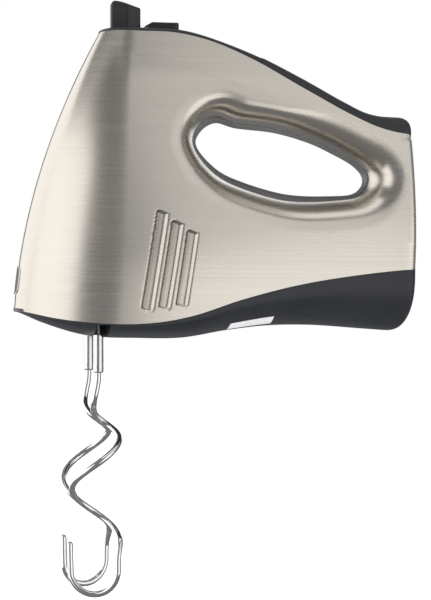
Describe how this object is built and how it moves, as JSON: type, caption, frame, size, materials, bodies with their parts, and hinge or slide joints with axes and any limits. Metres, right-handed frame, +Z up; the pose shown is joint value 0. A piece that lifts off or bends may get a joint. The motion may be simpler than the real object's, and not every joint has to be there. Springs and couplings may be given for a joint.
{
  "type": "hand mixer",
  "caption": "hand mixer with brushed metal side shells, open hand grip, speed lever, turbo button and two geared dough hooks that eject",
  "frame": {"origin": "middle of the hand grip, where a hand closes round the handle bar", "axes": "+Z up and along the hooks, +X to the heel, -Y to the mixer's left side; mixer held level with its hooks hanging down"},
  "size_m": [0.215, 0.0868, 0.3155],
  "materials": {
    "brushed_shell": "brushed champagne nickel",
    "dark_housing": "satin moulded",
    "rubber_grip": "fine matt",
    "black_controls": "satin gloss",
    "grey_liner": "soft satin",
    "label_film": "silvered film",
    "black_rubber": "matt",
    "hook_steel": "bright",
    "inner_plastic": "moulded",
    "white_nylon": "natural",
    "plain_steel": "zinc plated",
    "core_steel": "stacked sheet",
    "copper_wire": "enamelled copper",
    "bearing_bronze": "sintered",
    "carbon": "graphite",
    "board": "lacquered",
    "capacitor_case": "moulded"
  },
  "bodies": {
    "housing": {"left_side_shell": "brushed_shell", "right_side_shell": "brushed_shell", "base_housing": "dark_housing", "top_cover": "dark_housing", "thumb_grip": "rubber_grip", "nose_strip": "dark_housing", "rear_strip": "dark_housing", "handle_liner": "grey_liner", "nose_badge": "brushed_shell", "rating_label": "label_film", "cord_gland": "black_rubber", "cord_clamp": "inner_plastic", "terminal_block": "inner_plastic", "suppressor": "capacitor_case", "control_board": "board", "stator_core": "core_steel", "field_coils": "copper_wire", "rear_bracket": "inner_plastic", "rear_bearing": "plain_steel", "brush_holders": "bearing_bronze", "carbon_brushes": "carbon", "stator_screws": "plain_steel", "gear_case": "inner_plastic", "nose_bush": "bearing_bronze", "front_bearing": "plain_steel", "gear_cover": "inner_plastic", "gear_cover_screws": "plain_steel", "switch_body": "inner_plastic", "switch_bracket": "inner_plastic", "turbo_switch": "inner_plastic", "turbo_spring": "plain_steel", "eject_spring": "plain_steel", "housing_screws": "plain_steel"},
    "armature": {"motor_shaft": "plain_steel", "armature_core": "core_steel", "armature_windings": "copper_wire", "commutator": "copper_wire", "cooling_fan": "inner_plastic"},
    "left_spindle": {"left_worm_wheel": "white_nylon", "left_drive_tube": "plain_steel", "left_tube_clip": "plain_steel"},
    "right_spindle": {"right_worm_wheel": "white_nylon", "right_drive_tube": "plain_steel", "right_tube_clip": "plain_steel"},
    "left_hook": {"left_hook_shaft": "hook_steel", "left_hook_sleeve": "hook_steel", "left_hook_wire": "hook_steel", "left_hook_collar": "hook_steel"},
    "right_hook": {"right_hook_shaft": "hook_steel", "right_hook_sleeve": "hook_steel", "right_hook_wire": "hook_steel"},
    "ejector": {"eject_fork": "inner_plastic"},
    "selector": {"speed_lever": "black_controls"},
    "rotor": {"switch_rotor": "inner_plastic"},
    "turbo": {"turbo_button": "black_controls"}
  },
  "joints": [
    {"name": "armature_spin", "type": "hinge", "parent": "housing", "child": "armature", "pos_m": [-0.07, 0, -0.087], "axis": [1, 0, 0], "continuous": true},
    {"name": "left_spindle_spin", "type": "hinge", "parent": "housing", "child": "left_spindle", "pos_m": [-0.1133, -0.02, -0.087], "axis": [0, 0, 1], "continuous": true},
    {"name": "right_spindle_spin", "type": "hinge", "parent": "housing", "child": "right_spindle", "pos_m": [-0.1133, 0.02, -0.087], "axis": [0, 0, 1], "continuous": true},
    {"name": "eject_press", "type": "slide", "parent": "housing", "child": "ejector", "axis": [0, 0, -1], "range_m": [0, 0.007], "stiffness_N_per_m": 400, "springref_m": -0.003, "deforming": ["eject_spring"]},
    {"name": "left_hook_eject", "type": "slide", "parent": "left_spindle", "child": "left_hook", "axis": [0, 0, -1], "range_m": [0, 0.007]},
    {"name": "right_hook_eject", "type": "slide", "parent": "right_spindle", "child": "right_hook", "axis": [0, 0, -1], "range_m": [0, 0.007]},
    {"name": "speed_turn", "type": "hinge", "parent": "ejector", "child": "selector", "pos_m": [-0.096, 0, 0.042], "axis": [0, 0, 1], "range_deg": [0, 75]},
    {"name": "rotor_turn", "type": "hinge", "parent": "housing", "child": "rotor", "pos_m": [-0.096, 0, 0.018], "axis": [0, 0, 1], "range_deg": [0, 75]},
    {"name": "turbo_press", "type": "slide", "parent": "housing", "child": "turbo", "axis": [0, 0, -1], "range_m": [0, 0.0025], "stiffness_N_per_m": 300, "springref_m": -0.002, "deforming": ["turbo_spring"]}
  ],
  "couplings": [
    {"joint": "left_spindle_spin", "follows": "armature_spin", "ratio": 0.033333},
    {"joint": "right_spindle_spin", "follows": "armature_spin", "ratio": -0.033333},
    {"joint": "left_hook_eject", "follows": "eject_press", "ratio": 1},
    {"joint": "right_hook_eject", "follows": "eject_press", "ratio": 1},
    {"joint": "rotor_turn", "follows": "speed_turn", "ratio": 1}
  ]
}
